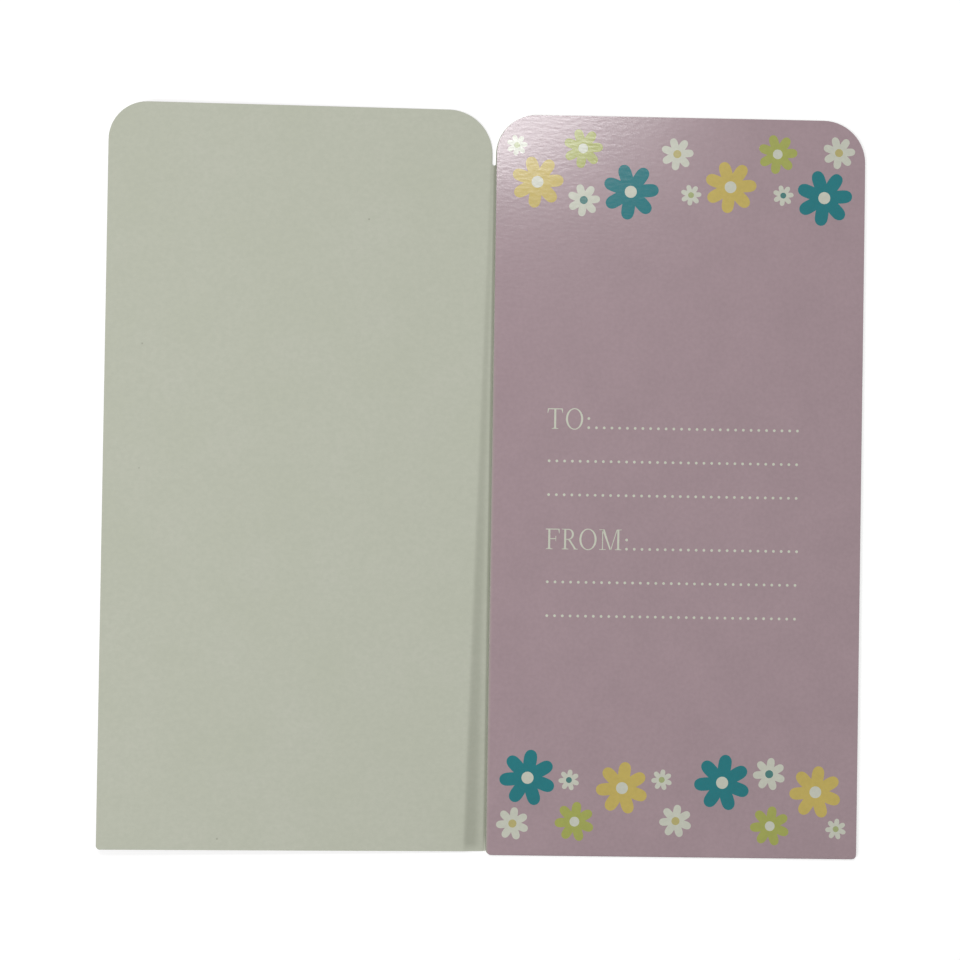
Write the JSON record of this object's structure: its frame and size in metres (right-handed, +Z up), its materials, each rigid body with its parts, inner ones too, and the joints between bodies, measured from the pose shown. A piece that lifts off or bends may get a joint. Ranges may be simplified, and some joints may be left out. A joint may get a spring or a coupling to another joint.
{
  "type": "money holder card",
  "caption": "Long folding gift card: a board cover closes over a glued pocket for banknotes that is open at its head and has dotted writing lines.",
  "frame": {"origin": "middle of the back panel's underside, on the surface that the open card lies on", "axes": "+X from the cover to the pocket, +Y from the foot to the head of the card, +Z up out of the pocket's printed front"},
  "size_m": [0.1735, 0.1709, 0.004],
  "materials": {
    "bare_board": "matt, uncoated, faint fibre texture",
    "printed_film": "mauve print under a clear gloss film",
    "glue": "dried white adhesive"
  },
  "bodies": {
    "back": {"back_board": "bare_board", "back_film": "printed_film", "fold_board": "bare_board", "fold_film": "printed_film", "pocket_board": "bare_board", "pocket_film": "printed_film", "left_glue_line": "glue", "right_glue_line": "glue"},
    "spine": {"spine_board": "bare_board", "spine_film": "printed_film"},
    "cover": {"cover_board": "bare_board", "cover_film": "printed_film"}
  },
  "joints": [
    {"name": "spine_crease", "type": "hinge", "parent": "back", "child": "spine", "pos_m": [-0.0429, 0, 0.0004], "axis": [0, 1, 0], "range_deg": [-1, 82]},
    {"name": "cover_crease", "type": "hinge", "parent": "spine", "child": "cover", "pos_m": [-0.04557, 0.0009, 0.00078], "axis": [0.0245, 0.9997, -0.0034], "range_deg": [-1, 94]}
  ]
}
